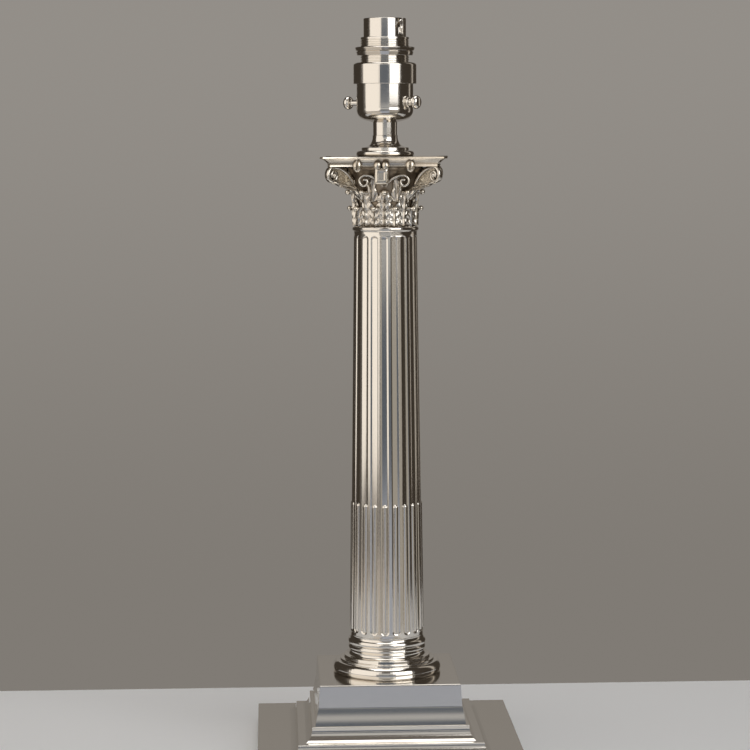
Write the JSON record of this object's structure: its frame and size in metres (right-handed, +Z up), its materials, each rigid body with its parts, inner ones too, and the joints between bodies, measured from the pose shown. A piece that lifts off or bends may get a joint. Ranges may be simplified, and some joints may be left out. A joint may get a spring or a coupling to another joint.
{
  "type": "column table lamp",
  "caption": "Silver-plated table lamp base: square stepped foot, fluted Corinthian column, bayonet lampholder with push-bar switch and shade ring.",
  "frame": {"origin": "centre of the underside of the felt, on the table, under the axis of the column", "axes": "+Z up along the column, -Y towards the front, +X to the right seen from the front"},
  "size_m": [0.156, 0.156, 0.4393],
  "materials": {
    "silver_plate": "polished, lightly worn",
    "raw_brass": "plain",
    "plain_steel": "plain",
    "iron": "as cast",
    "baize": "matt",
    "black_moulding": "matt",
    "white_ceramic": "unglazed"
  },
  "bodies": {
    "lamp": {"base_slab": "silver_plate", "step_moulding": "silver_plate", "pedestal_block": "silver_plate", "base_weight": "iron", "felt_pad": "baize", "cord_bush": "black_moulding", "centre_tube": "raw_brass", "rod_fasteners": "plain_steel", "fluted_column": "silver_plate", "capital": "silver_plate", "abacus": "silver_plate", "flared_cap": "silver_plate", "neck": "silver_plate", "holder_cup": "silver_plate", "holder_collar": "silver_plate", "bayonet_shell": "silver_plate", "insulator": "white_ceramic", "terminal_pillars": "raw_brass", "earth_terminal": "raw_brass", "switch_bush_near": "silver_plate", "switch_bush_far": "silver_plate", "contact_spring_a": "plain_steel", "contact_spring_b": "plain_steel"},
    "push_bar": {"switch_bar": "silver_plate", "switch_knob_near": "silver_plate", "switch_knob_far": "silver_plate", "switch_carriage": "black_moulding"},
    "contact_a": {"contact_plunger_a": "raw_brass"},
    "contact_b": {"contact_plunger_b": "raw_brass"},
    "shade_ring": {"shade_ring": "silver_plate"}
  },
  "joints": [
    {"name": "push_bar_slide", "type": "slide", "parent": "lamp", "child": "push_bar", "axis": [0.8192, -0.5736, 0], "range_m": [0, 0.0042]},
    {"name": "contact_a_travel", "type": "slide", "parent": "lamp", "child": "contact_a", "axis": [0, 0, -1], "range_m": [0, 0.0038], "stiffness_N_per_m": 900, "springref_m": -0.002, "deforming": ["contact_spring_a"]},
    {"name": "contact_b_travel", "type": "slide", "parent": "lamp", "child": "contact_b", "axis": [0, 0, -1], "range_m": [0, 0.0038], "stiffness_N_per_m": 900, "springref_m": -0.002, "deforming": ["contact_spring_b"]},
    {"name": "shade_ring_travel", "type": "slide", "parent": "lamp", "child": "shade_ring", "axis": [0, 0, 1], "range_m": [-0.0038, 0.0058]}
  ]
}
